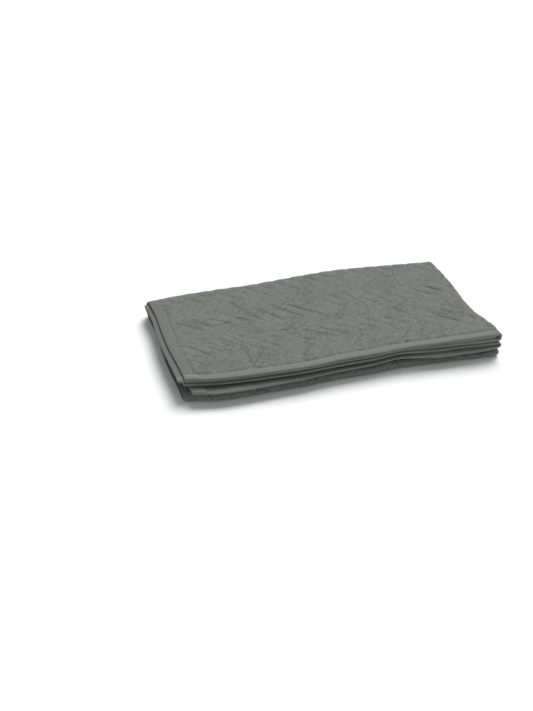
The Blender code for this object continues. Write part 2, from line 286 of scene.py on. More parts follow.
def front_reach(piece, into, outer_share, x):
    """How far a front edge is drawn out past the top layer's."""
    if "front" not in piece:
        return 0.0
    share = into / piece["length"]
    pull = {"start": 1.0 - share, "end": share, "all": 1.0}[piece["pulled"]]
    inner, outer = (0.0 if name is None else REACH[name](x) for name in piece["front"])
    return mix(inner, outer, outer_share) * max(0.0, pull) ** 2


# %% How the stack settles
def swell(x, y):
    """Sum of the soft swells and hollows at a place."""
    return sum(rise * math.exp(-((x - along) / reach) ** 2 - ((y - depth) / deep) ** 2)
               for along, depth, reach, deep, rise in SWELLS)


def settle(x, y, z):
    """The height of a point once the layers lie as they do in the stack."""
    along = ease((x - SPREAD_START) / (FOLDED_LENGTH - SPREAD_START))
    deep = ease(y / FOLDED_DEPTH)
    number = min(len(LAYERS) - 1, max(0, int(z / PITCH)))
    above = z - (number + 0.5) * PITCH

    def middle(layer):
        left, right, back = LAYERS[layer][:3]
        return mix(mix(left, right, along), back, deep)

    pressed = layer_value(number, "pressed")
    half = CLOTH / 2
    neighbour = number + (1 if above > 0 else -1)
    if abs(above) <= half or not 0 <= neighbour < len(LAYERS):
        height = middle(number) + above * pressed
    else:
        side = math.copysign(1.0, above)
        edge = middle(number) + side * half * pressed
        other = middle(neighbour) - side * half * layer_value(neighbour, "pressed")
        height = mix(edge, other, (abs(above) - half) / (PITCH - CLOTH))
    return height + swell(x, y) * ease((height - SWELL_FLOOR) / SWELL_RANGE)


def outline(x, y):
    """Skew and wave the folded stack's outline, as it was laid down by hand."""
    skew = mix(LEFT_EDGE(y), RIGHT_EDGE(y), x / FOLDED_LENGTH)
    return x + skew, mix(FRONT_EDGE(x), BACK_EDGE(x), y / FOLDED_DEPTH)


def fold(point):
    """Carry one point of the flat blanket to its place in the folded one."""
    across, along, through = point
    x, away, outer_share = cross_fold(across, through)
    piece, into = find_on_path(along)
    y, z = path_point(piece, into, away)
    from_fold = max(0.0, FOLD_X - x) / FOLD_X
    x -= left_reach(piece, into, outer_share, y) * from_fold ** 2
    y -= front_reach(piece, into, outer_share, x)
    height = max(0.0, settle(x, y, z))
    x, y = outline(x, y)
    return Vector((x, y, height)) - CORNER


print("front left corner of the top layer:", [round(v, 4) for v in fold((HALF_WIDTH, 0.0, 0.0))])

# %% [markdown]
# ## The quilting
#
# A multi needle machine sews the cloths together in zigzag lines that run side by side along the
# blanket. The thread draws the cloth in, and the filling pushes it out between the lines. Cloth
# that has been drawn in also puckers: short wrinkles run out from the stitches.
#
# The relief is worked out as a height over the flat cloth, so that it bends with it later.

# %% Zigzag stitch lines
STITCH_DEPTH = 0.0010
LINE_SPACING = 0.034
ZIGZAG_SWING = 0.021
ZIGZAG_TURNS = (0.067, 0.110, 0.157, 0.205, 0.250)
ZIGZAG_LEG = 0.046
TURN_SHARPNESS = 0.97
SWING_FADE = 0.050
WANDER = 0.0035
TROUGH_WIDTH = 0.0020
PUFF_RISE = 0.0006
PUFF_REACH = 0.010


def turn_count(along):
    """How many turns of the zigzag lie before a place, with the share of the leg that it is on."""
    first, last = ZIGZAG_TURNS[0], ZIGZAG_TURNS[-1]
    if along < first:
        return (along - first) / ZIGZAG_LEG
    if along >= last:
        return len(ZIGZAG_TURNS) - 1 + (along - last) / ZIGZAG_LEG
    k = next(i for i in range(len(ZIGZAG_TURNS)) if along < ZIGZAG_TURNS[i + 1])
    return k + (along - ZIGZAG_TURNS[k]) / (ZIGZAG_TURNS[k + 1] - ZIGZAG_TURNS[k])


def zigzag_shift(along):
    """How far the stitch lines are swung across at a place along the blanket."""
    wave = math.sin(math.pi * (turn_count(along) + 0.5))
    return -ZIGZAG_SWING * math.asin(TURN_SHARPNESS * wave) / math.asin(TURN_SHARPNESS)


def wander(across, along):
    """How far a line strays from its true zigzag, as soft cloth moves under the needles."""
    return WANDER * noise.noise(Vector((across / 0.09, along / 0.05, 12.0)))


def stitch_distance(across, along):
    """Distance to the nearest stitch line, measured square to its legs."""
    square = ZIGZAG_LEG / math.hypot(ZIGZAG_LEG, 2 * ZIGZAG_SWING)
    line = (across - HAIRPIN_HALF - zigzag_shift(along) - wander(across, along)) / LINE_SPACING
    return abs(line - round(line)) * LINE_SPACING * square


print("a stitch line swings", round(2000 * ZIGZAG_SWING), "mm from side to side")

# %% [markdown]
# ## Creases
#
# The main creases are placed on the top layer, in metres from its front left corner, each as a soft trough
# from one point to another. Smaller ones are left to smooth noise: where it crosses zero it draws short
# wandering lines, as crumpled cloth has.

# %% Main creases of the top layer
CREASES = (  # along and depth of one end, along and depth of the other, width, rise
    (0.132, 0.236, 0.178, 0.163, 0.0030, -0.0009),
    (0.176, 0.206, 0.228, 0.149, 0.0026, -0.0010),
    (0.212, 0.210, 0.268, 0.150, 0.0028, -0.0012),
    (0.250, 0.203, 0.316, 0.141, 0.0028, -0.0013),
    (0.010, 0.185, 0.060, 0.150, 0.0026, -0.0009),
    (0.036, 0.188, 0.080, 0.158, 0.0024, -0.0008),
    (0.080, 0.158, 0.106, 0.159, 0.0024, -0.0007),
    (0.075, 0.190, 0.118, 0.159, 0.0026, -0.0009),
    (0.020, 0.100, 0.057, 0.066, 0.0026, -0.0009),
    (0.057, 0.065, 0.027, 0.064, 0.0022, -0.0010),
    (0.057, 0.105, 0.091, 0.079, 0.0024, -0.0008),
    (0.088, 0.105, 0.133, 0.067, 0.0026, -0.0009),
    (0.130, 0.180, 0.161, 0.157, 0.0026, -0.0010),
    (0.185, 0.133, 0.167, 0.115, 0.0022, -0.0009),
    (0.167, 0.115, 0.146, 0.111, 0.0022, -0.0008),
    (0.250, 0.137, 0.220, 0.108, 0.0022, -0.0011),
    (0.220, 0.108, 0.209, 0.110, 0.0022, -0.0008),
    (0.260, 0.103, 0.313, 0.065, 0.0028, -0.0009),
    (0.128, 0.045, 0.133, 0.010, 0.0024, -0.0008),
    (0.133, 0.010, 0.156, 0.045, 0.0024, -0.0007),
    (0.260, 0.058, 0.228, 0.012, 0.0026, -0.0008),
    (0.362, 0.060, 0.335, 0.030, 0.0024, -0.0008),
    (0.375, 0.221, 0.403, 0.165, 0.0030, -0.0010),
    (0.403, 0.165, 0.404, 0.142, 0.0026, -0.0009),
    (0.404, 0.142, 0.392, 0.111, 0.0026, -0.0009),
    (0.445, 0.145, 0.466, 0.121, 0.0026, -0.0012),
    (0.466, 0.121, 0.481, 0.138, 0.0024, -0.0009),
    (0.466, 0.121, 0.494, 0.092, 0.0026, -0.0009),
    (0.465, 0.062, 0.440, 0.032, 0.0024, -0.0008),
    (0.540, 0.212, 0.578, 0.181, 0.0032, -0.0012),
    (0.515, 0.206, 0.548, 0.171, 0.0028, -0.0008),
    (0.572, 0.060, 0.547, 0.035, 0.0024, -0.0007),
    (0.520, 0.113, 0.570, 0.068, 0.0085, -0.0022),
    (0.552, 0.118, 0.602, 0.083, 0.0060, 0.0020),
    (0.530, 0.100, 0.572, 0.066, 0.0030, -0.0010),
)
CREASE_THIN = 0.75
CREASE_BEND = 0.0030
CREASE_BEND_SPACING = 0.016
# The two sizes below: creases narrower than the first get painted shade in the cloth's colour, full at a
# depth of the second.
SHARP_WIDTH = 0.0035
CREASE_FULL_SHADE_DEPTH = 0.0010


def crease(x, y):
    """Height that the creases add at a place on the top layer, and how deep in a sharp one it is, which sets
    the painted shade there.
    """
    total, sharp = 0.0, 0.0
    at = Vector((x, y, 0.0)) / CREASE_BEND_SPACING
    x += CREASE_BEND * noise.noise(at + Vector((0.0, 0.0, 31.0)))
    y += CREASE_BEND * noise.noise(at + Vector((0.0, 0.0, 57.0)))
    for x0, y0, x1, y1, width, rise in CREASES:
        run_x, run_y = x1 - x0, y1 - y0
        length = math.hypot(run_x, run_y)
        share = ((x - x0) * run_x + (y - y0) * run_y) / length ** 2
        beyond = max(0.0, abs(share - 0.5) - 0.5) * length
        beside = ((x - x0) * run_y - (y - y0) * run_x) / length
        far = math.hypot(beside, beyond) / (width * CREASE_THIN)
        if far < 3.0:
            bump = rise * math.exp(-far * far)
            total += bump
            # A sharp crease also gets painted shade in the cloth's colour, by how deep it is.
            if width < SHARP_WIDTH:
                sharp = max(sharp, -bump / CREASE_FULL_SHADE_DEPTH)
    return total, min(1.0, sharp)


print(len(CREASES), "creases by hand")


# %% Small wrinkles
WRINKLE_DEPTH = 0.0005
WRINKLE_LENGTH = 0.026
WRINKLE_SPACING = 0.015
WRINKLE_SHARPNESS = 0.10
WRINKLE_TILT = math.radians(38)
CRUMPLE = 0.00060
CRUMPLE_SPACING = 0.011


def wrinkle_field(across, along, tilt, seed):
    """Noise drawn out along one direction, and the troughs along the lines where it is zero."""
    lengthwise = across * math.cos(tilt) + along * math.sin(tilt)
    crosswise = along * math.cos(tilt) - across * math.sin(tilt)
    value = noise.noise(Vector((lengthwise / WRINKLE_LENGTH, crosswise / WRINKLE_SPACING, seed)))
    return math.exp(-(value / WRINKLE_SHARPNESS) ** 2)


def wrinkles(across, along):
    """Puckers that lean with the legs of the zigzag, strong in some places and weak in others."""
    lean = 0.5 - 0.5 * math.sin(math.pi * turn_count(along))
    troughs = mix(wrinkle_field(across, along, WRINKLE_TILT, 3.0),
                  wrinkle_field(across, along, -WRINKLE_TILT, 8.0), ease(lean))
    strength = ease(0.55 + 1.3 * noise.noise(Vector((across / 0.045, along / 0.045, 21.0))))
    place = Vector((across / CRUMPLE_SPACING, along / CRUMPLE_SPACING, 5.0))
    return CRUMPLE * noise.noise(place) - WRINKLE_DEPTH * troughs * strength


print("wrinkles about", round(1000 * WRINKLE_SPACING), "mm apart")

# %% [markdown]
# ## The cloth's thickness
#
# The cloth is thin where the tape is sewn over it and swells up just inside the tape, which is
# what leaves a groove along the tape's inner edge. Wrinkles and puffs show on the top layer and
# round the back. The underside lies flat on whatever the blanket rests on, so only its stitch
# lines are drawn in there.

# %% Height of the cloth's two faces
FULL_THICKNESS = 0.0265
TAPE_DIMPLE = 0.0009
DIMPLE_REACH = 0.008
DIMPLE_SPACING = 0.011
# Painted shade in the cloth's colour: how much a stitch trough and a dimple by the tape get.
SEWN_PAINTED_SHADE = 0.30
DIMPLE_PAINTED_SHADE = 0.60
RELIEF_START = 0.0022
TOP_END = BACK_Y + PATH[1]["length"] * 0.55
TOP_FADE = 0.020


def from_rim(across, along):
    """Distance in from the edge, counted as if every tape were of the full width."""
    return min(HALF_WIDTH - abs(across), along + NARROWER, PATH_LENGTH - along)


def half_thickness(across, along):
    """Half the cloth's thickness: thin where the tape is sewn over it, full further in."""
    inwards = from_rim(across, along)
    return mix(RIM, CLOTH, ease((inwards - UNDER_TAPE) / (FULL_THICKNESS - UNDER_TAPE))) / 2


def top_share(along):
    """1 on the top layer and round the back, and 0 on every layer below."""
    return ease((TOP_END - along) / TOP_FADE)


def face_height(across, along):
    """Height of the outside face over the middle of the flat cloth."""
    return face_shape(across, along)[0]


def face_shape(across, along):
    """Height of the outside face, and how much painted shade its colour gets there: in a sewn line, a sharp
    crease or a dimple by the tape.
    """
    base = half_thickness(across, along)
    inwards = from_rim(across, along)
    clear_of_tape = ease((inwards - UNDER_TAPE) / RELIEF_START)
    if clear_of_tape == 0.0:
        return base, 0.0
    apart = stitch_distance(across, along)
    drawn = noise.noise(Vector((across / 0.035, along / 0.035, 40.0)))
    tight = min(1.0, max(0.10, 0.60 + 1.6 * drawn))
    trough = tight * math.exp(-(apart / TROUGH_WIDTH) ** 2)
    relief = -STITCH_DEPTH * trough
    shown = top_share(along)
    if shown > 0.0:
        x, y, _ = fold((across, along, 0.0)) + CORNER
        puff = PUFF_RISE * ease(apart / PUFF_REACH)
        creased, sharp = crease(x, y)
        place = Vector((across / DIMPLE_SPACING, along / DIMPLE_SPACING, 77.0))
        near_tape = 1.0 - (inwards - UNDER_TAPE) / DIMPLE_REACH
        dimple = ease(near_tape) * min(1.0, max(0.0, 0.25 + 1.8 * noise.noise(place)))
        relief += shown * (puff + wrinkles(across, along) + creased - TAPE_DIMPLE * dimple)
        # From here trough is the painted shade for the cloth's colour, in sewn lines, sharp creases and
        # dimples by the tape.
        trough = shown * max(SEWN_PAINTED_SHADE * trough, sharp, DIMPLE_PAINTED_SHADE * dimple)
    return base + relief * clear_of_tape, trough * clear_of_tape


print("cloth is", 1000 * CLOTH, "mm thick, and", 1000 * RIM, "mm under the tape")

# %% [markdown]
# ## The quilted cloth
#
# The cloth starts as one flat grid, extruded to a slab. Only the part that shows is subdivided,
# so that the hidden layers cost little. The columns are swung with the zigzag: an edge of the
# mesh then runs along each stitch line, and keeps it crisp.


# %% Columns and rows of the flat cloth
def spaced(start, end, step):
    """Even places from start to just before end, about a step apart."""
    count = max(1, round((end - start) / step))
    return [mix(start, end, i / count) for i in range(count)]


HAIRPIN_STEPS = 14
SHOWN_COLUMN = LINE_SPACING / 8
HIDDEN_COLUMN = 0.033
CURVED_COLUMN = 0.014
CURVED = (0.050, 0.345)
NEAR_FOLD = 0.030
SHOWN_ROW = ZIGZAG_LEG / 10
PLAIN_ROW = ZIGZAG_LEG / 3.5
EDGE_STEP = 0.003


def cloth_columns():
    """Places across the flat blanket: the hidden half, the fold, and the half that shows. The
    hidden half is closer where its front edges curve most, so that no tape cuts into it."""
    turn = [HAIRPIN_HALF * (2 * i / HAIRPIN_STEPS - 1) for i in range(HAIRPIN_STEPS + 1)]
    full = HALF_WIDTH - FULL_THICKNESS
    edge = [*spaced(full, HALF_WIDTH - UNDER_TAPE, EDGE_STEP), HALF_WIDTH - UNDER_TAPE, HALF_WIDTH]
    shown = spaced(HAIRPIN_HALF, full, SHOWN_COLUMN)[1:]
    hidden = [*spaced(HAIRPIN_HALF, NEAR_FOLD, EDGE_STEP)[1:],
              *spaced(NEAR_FOLD, CURVED[0], HIDDEN_COLUMN), *spaced(*CURVED, CURVED_COLUMN),
              *spaced(CURVED[1], full, HIDDEN_COLUMN)]
    return [-v for v in reversed(edge)] + [-v for v in reversed(hidden)] + turn + shown + edge


def cloth_rows():
    """Places along the flat blanket: close on the top layer and round the back, plain below."""
    first, full = UNDER_TAPE - NARROWER, FULL_THICKNESS - NARROWER
    rows = [0.0, *spaced(first, full, EDGE_STEP), *spaced(full, PATH[0]["length"], SHOWN_ROW)]
    start = PATH[0]["length"]
    for number, piece in enumerate(PATH[1:], 1):
        end = start + piece["length"]
        if number == len(PATH) - 1:
            end = PATH_LENGTH - FULL_THICKNESS
        step = SHOWN_ROW if piece["kind"] == "turn" and number == 1 else PLAIN_ROW
        if piece["kind"] == "turn" and number > 1:
            step = piece["length"] / 8
        rows += spaced(start, end, step)
        start = end
    rows += spaced(PATH_LENGTH - FULL_THICKNESS, PATH_LENGTH - UNDER_TAPE, EDGE_STEP)
    return rows + [PATH_LENGTH - UNDER_TAPE, PATH_LENGTH]


print(len(cloth_columns()), "columns and", len(cloth_rows()), "rows")


# %% Helpers that finish a mesh
def face_outwards(bm):
    """Turn every face outwards. Where layers lie close, the operator can choose the wrong side."""
    bmesh.ops.recalc_face_normals(bm, faces=bm.faces)
    if bm.calc_volume(signed=True) < 0.0:
        bmesh.ops.reverse_faces(bm, faces=bm.faces)


def finished(name, bm, smooth_angle):
    """Put a bmesh in a new object, shaded smooth but for its sharp edges."""
    mesh = bpy.data.meshes.new(name)
    bm.to_mesh(mesh)
    bm.free()
    mesh.shade_smooth()
    mesh.set_sharp_from_angle(angle=math.radians(smooth_angle))
    item = bpy.data.objects.new(name, mesh)
    bpy.context.scene.collection.objects.link(item)
    triangles = sum(len(face.vertices) - 2 for face in mesh.polygons)
    print(name, triangles, "triangles")
    return item


# %% A flat slab to start from
def flat_slab(columns, rows):
    """A grid with its lines at the given places, extruded: z is -1 inside and 1 outside."""
    bm = bmesh.new()
    bmesh.ops.create_grid(bm, x_segments=len(columns) - 1, y_segments=len(rows) - 1, size=0.5)
    for vert in bm.verts:
        i = round((vert.co.x + 0.5) * (len(columns) - 1))
        j = round((vert.co.y + 0.5) * (len(rows) - 1))
        vert.co = (columns[i], rows[j], -1.0)
    made = bmesh.ops.extrude_face_region(bm, geom=list(bm.faces))
    outside = [item for item in made["geom"] if isinstance(item, bmesh.types.BMVert)]
    bmesh.ops.translate(bm, verts=outside, vec=(0.0, 0.0, 2.0))
    return bm


# %% Fold a flat mesh and keep its flat places as a UV map
def fold_mesh(bm, place):
    """Move every point to where place puts it. Its flat place in metres becomes its UV."""
    flat = {vert: vert.co.copy() for vert in bm.verts}
    layer = bm.loops.layers.uv.new("flat")
    for face in bm.faces:
        for loop in face.loops:
            loop[layer].uv = flat[loop.vert].xy
    for vert, at in flat.items():
        vert.co = place(at)


# %% Make the quilted cloth
def swing(across, along):
    """How far a column of the mesh is swung with the zigzag: not at all at the fold and edge."""
    if across <= HAIRPIN_HALF:
        return 0.0
    from_fold = (across - HAIRPIN_HALF) / SWING_FADE
    from_edge = (HALF_WIDTH - FULL_THICKNESS - across) / SWING_FADE
    return zigzag_shift(along) * ease(min(from_fold, from_edge))


def place_cloth(at):
    """Fold a point of the flat slab, whose z says only which of the two faces it is on."""
    across = at.x
    if at.z > 0.0:
        return fold((across, at.y, face_height(across, at.y)))
    return fold((across, at.y, -half_thickness(across, at.y)))


def quilted_cloth():
    bm = flat_slab(cloth_columns(), cloth_rows())
    fine_end = PATH[0]["length"] + PATH[1]["length"]
    shown = [edge for edge in bm.edges
             if all(v.co.z > 0.0 and v.co.x > -0.001 and v.co.y < fine_end for v in edge.verts)]
    bmesh.ops.subdivide_edges(bm, edges=shown, cuts=1, use_grid_fill=True)
    # The crease layer holds how much painted shade the cloth's colour gets at each point.
    depth = bm.verts.layers.float.new("crease")
    for vert in bm.verts:
        vert.co.x += swing(vert.co.x, vert.co.y)
        if vert.co.z > 0.0:
            vert[depth] = face_shape(vert.co.x, vert.co.y)[1]
    fold_mesh(bm, place_cloth)
    face_outwards(bm)
    return finished("quilted_cloth", bm, 50)


cloth = quilted_cloth()

# %% [markdown]
# ## The binding
#
# A woven tape is folded over the edge and sewn through, with one row of stitches near its inner
# edge. Two tapes run along the ends and over the corners, where their ends are turned under and
# lie double. Two more run along the sides between them.
#
# Each tape is a flat strip rolled round the rim: a place along it, and a distance round its
# section from one inner edge over the nose to the other. It is extruded to its thickness as the
# cloth was.

# %% Section of a tape
NOSE = 0.0040
SEAM_IN = 0.0026
SEAM_DEPTH = 0.0003
TAPE_PUFF = 0.00030
TAPE_PUCKER = 0.00040
LAP = 0.0009
LAP_LENGTH = 0.026
LAP_EDGE = 0.0012
LAP_SEAMS = (0.0018, 0.0034, 0.0042)
ROLL = 0.0008
ROLL_START = 0.400
ROLL_REACH = 0.080
ROLL_FADE = 0.012
END_CAP = 0.0024
CAP_STEPS = 4
END_TOUCH = 0.00001
FLAT_STEPS = (0.0, 0.0012, 0.0026, 0.0042, 0.0075, 0.0115, 0.0155, 0.0188)
NOSE_STEPS = 6


def tape_steps(width):
    """Distances round the section, from one inner edge over the nose to the other."""
    nose = [width + NOSE * i / NOSE_STEPS for i in range(1, NOSE_STEPS)]
    flat = [v for v in FLAT_STEPS if v < width - 0.001] + [width]
    return [*flat, *nose, *(2 * width + NOSE - v for v in reversed(flat))]


def section(round_it, width, outside, extra):
    """Distance in from the edge, and distance through, of a point round a tape's section."""
    half = RIM / 2 + GAP + (TAPE if outside else 0.0) + extra
    reach = GAP + (TAPE_EDGE if outside else 0.0)
    side = 1.0
    if round_it > width + NOSE / 2:
        round_it = 2 * width + NOSE - round_it
        side = -1.0
    if round_it <= width:
        return width - round_it, side * half
    turn = math.pi / 2 * (round_it - width) / (NOSE / 2)
    return -reach * math.sin(turn), side * half * math.cos(turn)


def along_top(at, inwards, through):
    return at, inwards, through


def along_inner(at, inwards, through):
    return at, PATH_LENGTH - inwards, through


def along_outer_side(at, inwards, through):
    return HALF_WIDTH - inwards, at, through


def along_inner_side(at, inwards, through):
    return inwards - HALF_WIDTH, at, through


def faces_up(to_flat, place, side):
    """Whether this side of a tape lies upwards at its shown layers. The other lies on cloth."""
    if to_flat is along_top:
        return place * side > 0.0
    if to_flat is along_inner:
        return place * side < 0.0
    return (to_flat is along_outer_side) == (side > 0.0)


def roll(place, edge, to_flat):
    """How much fuller an end tape is rolled near the fold, where the layers lie loose."""
    if to_flat not in (along_top, along_inner):
        return 0.0
    from_fold = abs(place) - HAIRPIN_HALF
    loose = ease((FOLD_X - from_fold - ROLL_START) / ROLL_REACH) * ease(from_fold / ROLL_FADE)
    return ROLL * loose * ease((edge - SEAM_IN) / 0.006)


def tape_relief(place, round_it, width, to_flat, from_end):
    """How far a tape's outside face stands up: seam, puff, puckers and the doubled end."""
    edge = min(round_it, 2 * width + NOSE - round_it)
    sewn = roll(place, edge, to_flat) - SEAM_DEPTH * math.exp(-((edge - SEAM_IN) / 0.0008) ** 2)
    puff = TAPE_PUFF * ease((edge - SEAM_IN) / 0.006) * ease((width - edge) / 0.006)
    side = 1.0 if round_it < width + NOSE / 2 else -1.0
    if not faces_up(to_flat, place, side):
        return sewn
    pucker = TAPE_PUCKER * noise.noise(Vector((place / 0.007, edge / 0.02, 60.0 + side)))
    doubled = LAP * ease((LAP_LENGTH - from_end) / LAP_EDGE + 0.5)
    return sewn + puff + pucker * ease(edge / 0.004) + doubled


print(len(tape_steps(TAPE_WIDTH)), "points round a tape")


# %% Make the tapes
def tape(name, places, width, to_flat, closed_ends):
    """A strip along the given places, rolled round the edge that to_flat puts it on."""
    bm = flat_slab(places, tape_steps(width))
    first, last = places[0], places[-1]
    if closed_ends:
        ends = [face for face in bm.faces
                if all(vert.co.x <= first + END_TOUCH for vert in face.verts)
                or all(vert.co.x >= last - END_TOUCH for vert in face.verts)]
        bmesh.ops.delete(bm, geom=ends, context="FACES_ONLY")

    def place_tape(at):
        beyond = abs(at.x) - HALF_WIDTH if closed_ends else -HALF_WIDTH
        extra = tape_relief(at.x, at.y, width, to_flat, -beyond) if at.z > 0.0 else 0.0
        inwards, through = section(at.y, width, at.z > 0.0, extra)
        place = at.x
        if beyond > 0.0:
            turn = math.pi / 2 * min(1.0, beyond / END_CAP)
            reach = GAP + (TAPE_EDGE if at.z > 0.0 else 0.0)
            place = math.copysign(HALF_WIDTH + reach * math.sin(turn), at.x)
            through *= math.cos(turn)
        return fold(to_flat(place, inwards, through))

    fold_mesh(bm, place_tape)
    if closed_ends:
        bmesh.ops.remove_doubles(bm, verts=bm.verts, dist=0.000002)
    face_outwards(bm)
    return finished(name, bm, 60)


def end_places():
    """Places along an end tape: close on the half that shows, and close at both laps and caps."""
    lap = [HALF_WIDTH - LAP_LENGTH + v for v in (-0.0015, -0.0005, 0.0005, 0.0015)]
    cap = [HALF_WIDTH + END_CAP * i / CAP_STEPS for i in range(CAP_STEPS + 1)]
    corner = [*lap, *spaced(lap[-1] + 0.003, HALF_WIDTH, 0.004), *cap]
    turn = [HAIRPIN_HALF * (2 * i / HAIRPIN_STEPS - 1) for i in range(HAIRPIN_STEPS + 1)]
    shown = spaced(HAIRPIN_HALF, lap[0], 0.0032)[1:]
    half = [*shown, *corner]
    return [-v for v in reversed(half)] + turn + half


SIDE_START = TOP_TAPE_WIDTH + GAP
SIDE_END = PATH_LENGTH - TAPE_WIDTH - GAP


def side_places():
    """Places along a side tape, which stops at the end tapes."""
    places = []
    start = 0.0
    for piece in PATH:
        step = piece["length"] / 10 if piece["kind"] == "turn" else 0.0045
        if piece is PATH[1]:
            step = 0.0035
        places += spaced(start, start + piece["length"], step)
        start += piece["length"]
    inner = [v for v in places if SIDE_START + 0.001 < v < SIDE_END - 0.001]
    return [SIDE_START, *inner, SIDE_END]


end_tape_top = tape("end_tape_top", end_places(), TOP_TAPE_WIDTH, along_top, True)
end_tape_inner = tape("end_tape_inner", end_places(), TAPE_WIDTH, along_inner, True)
side_tape_outer = tape("side_tape_outer", side_places(), TAPE_WIDTH, along_outer_side, False)
side_tape_inner = tape("side_tape_inner", side_places(), TAPE_WIDTH, along_inner_side, False)
tapes = (end_tape_top, end_tape_inner, side_tape_outer, side_tape_inner)

# %% [markdown]
# ## The thread
#
# The thread shows as short stitches with a small dip between them. A stitch is one small ball,
# drawn out along its line and pressed flat, and there are thousands, so each has few faces. An
# operator makes the ball once. Its mesh is then added again and again, each time turned into its
# place, because an operator's own time grows with all that the bmesh already holds.

# %% Stitches
STITCH = 0.0036
STITCH_STEP = 0.0046
THREAD_WIDTH = 0.0007
THREAD_HEIGHT = 0.0005
THREAD_LIFT = 0.0001
LAP_ROW_IN = 0.002


def one_stitch():
    """A ball of few faces, one metre long and wide and high, with its poles at its two ends."""
    bm = bmesh.new()
    lengthwise = Matrix.Rotation(math.pi / 2, 4, "Y")
    bmesh.ops.create_uvsphere(bm, u_segments=5, v_segments=4, radius=0.5, matrix=lengthwise)
    mesh = bpy.data.meshes.new("one_stitch")
    bm.to_mesh(mesh)
    bm.free()
    return mesh


BALL = one_stitch()


def lay_stitch(bm, start, end, out):
    """One stitch from start to end, pressed on the surface whose outward direction is out."""
    run = (end - start).normalized()
    up = (out - out.dot(run) * run).normalized()
    turn = Matrix((run, up.cross(run), up)).transposed().to_4x4()
    size = Matrix.Diagonal((STITCH, THREAD_WIDTH, THREAD_HEIGHT, 1.0))
    place = Matrix.Translation((start + end) / 2) @ turn @ size
    BALL.transform(place)
    bm.from_mesh(BALL)
    BALL.transform(place.inverted())


def stitch_row(bm, length, surface):
    """A row of stitches along a line; surface gives the point at a distance and its outside."""
    count = int(length / STITCH_STEP)
    for k in range(count):
        start, out = surface(k * STITCH_STEP)
        end, _ = surface(k * STITCH_STEP + STITCH)
        lay_stitch(bm, start, end, out)
    return count


def on_tape(to_flat, width, side, place, edge):
    """A point on a tape at a distance from its woven edge, and the direction out of it."""
    round_it = edge if side > 0 else 2 * width + NOSE - edge
    closed = to_flat in (along_top, along_inner)
    from_end = HALF_WIDTH - abs(place) if closed else HALF_WIDTH
    raised = tape_relief(place, round_it, width, to_flat, from_end) + THREAD_LIFT
    inwards, through = section(round_it, width, True, raised)
    point = fold(to_flat(place, inwards, through))
    outer = fold(to_flat(place, inwards, through + side * 0.001))
    return point, outer - point


def seam(to_flat, width, side, first, edge=SEAM_IN):
    """Points along a tape, at one distance from its woven edge."""
    return lambda far: on_tape(to_flat, width, side, first + far, edge)


def across_lap(to_flat, width, side, place):
    """Points across a tape, where its doubled end is sewn down."""
    return lambda far: on_tape(to_flat, width, side, place, SEAM_IN + far)


END_TAPES = ((along_top, TOP_TAPE_WIDTH), (along_inner, TAPE_WIDTH))


def binding_stitches():
    """One row of stitches along every tape, on both its sides."""
    bm = bmesh.new()
    total = 0
    for side in (1, -1):
        for to_flat, width in END_TAPES:
            total += stitch_row(bm, 2 * HALF_WIDTH, seam(to_flat, width, side, -HALF_WIDTH))
        for to_flat in (along_outer_side, along_inner_side):
            along = seam(to_flat, TAPE_WIDTH, side, SIDE_START)
            total += stitch_row(bm, SIDE_END - SIDE_START, along)
    print(total, "stitches in the binding")
    return finished("binding_stitches", bm, 80)


def lap_stitches():
    """Rows that go to and fro on the doubled ends of the end tapes, and one across each."""
    bm = bmesh.new()
    total = 0
    lap_start = HALF_WIDTH - LAP_LENGTH
    for to_flat, width in END_TAPES:
        for side in (1, -1):
            for first in (-HALF_WIDTH, lap_start):
                for edge in LAP_SEAMS:
                    doubled = seam(to_flat, width, side, first, edge)
                    total += stitch_row(bm, LAP_LENGTH, doubled)
            for place in (-lap_start - LAP_ROW_IN, lap_start + LAP_ROW_IN):
                across = across_lap(to_flat, width, side, place)
                total += stitch_row(bm, width - SEAM_IN, across)
    print(total, "stitches in the laps")
    return finished("lap_stitches", bm, 80)


def quilting_surface(line):
    """Points along one zigzag line of the top layer and round the back."""
    def surface(far):
        along = UNDER_TAPE + far
        across = HAIRPIN_HALF + line * LINE_SPACING + zigzag_shift(along)
        across += wander(across, along)
        height = face_height(across, along) + THREAD_LIFT
        point = fold((across, along, height))
        return point, fold((across, along, height + 0.001)) - point

    return surface


def quilting_stitches():
    bm = bmesh.new()
    lines = range(1, int((HALF_WIDTH - TAPE_WIDTH - ZIGZAG_SWING) / LINE_SPACING))
    total = sum(stitch_row(bm, TOP_END - UNDER_TAPE, quilting_surface(line)) for line in lines)
    print(total, "stitches in", len(lines), "zigzag lines")
    return finished("quilting_stitches", bm, 80)


binding_thread = binding_stitches()
lap_thread = lap_stitches()
quilting_thread = quilting_stitches()

# %% [markdown]
# ## Materials
#
# Each colour is written as it would be picked on a screen, and one function turns it to the
# linear numbers that the shader works in. One small function adds a node, sets it and links it.


# %% Colour and node helpers
def linear(code):
    """An sRGB hex colour as linear numbers with full opacity."""
    parts = [int(code[i:i + 2], 16) / 255 for i in (0, 2, 4)]
    return (*(v / 12.92 if v <= 0.04045 else ((v + 0.055) / 1.055) ** 2.4 for v in parts), 1.0)


def add(tree, kind, inputs=(), links=(), **settings):
    """Add a node: inputs are (socket, value) and links are (socket, the output that feeds it)."""
    node = tree.nodes.new(kind)
    for name, value in settings.items():
        setattr(node, name, value)
    for socket, value in inputs:
        node.inputs[socket].default_value = value
    for socket, output in links:
        tree.links.new(output, node.inputs[socket])
    return node


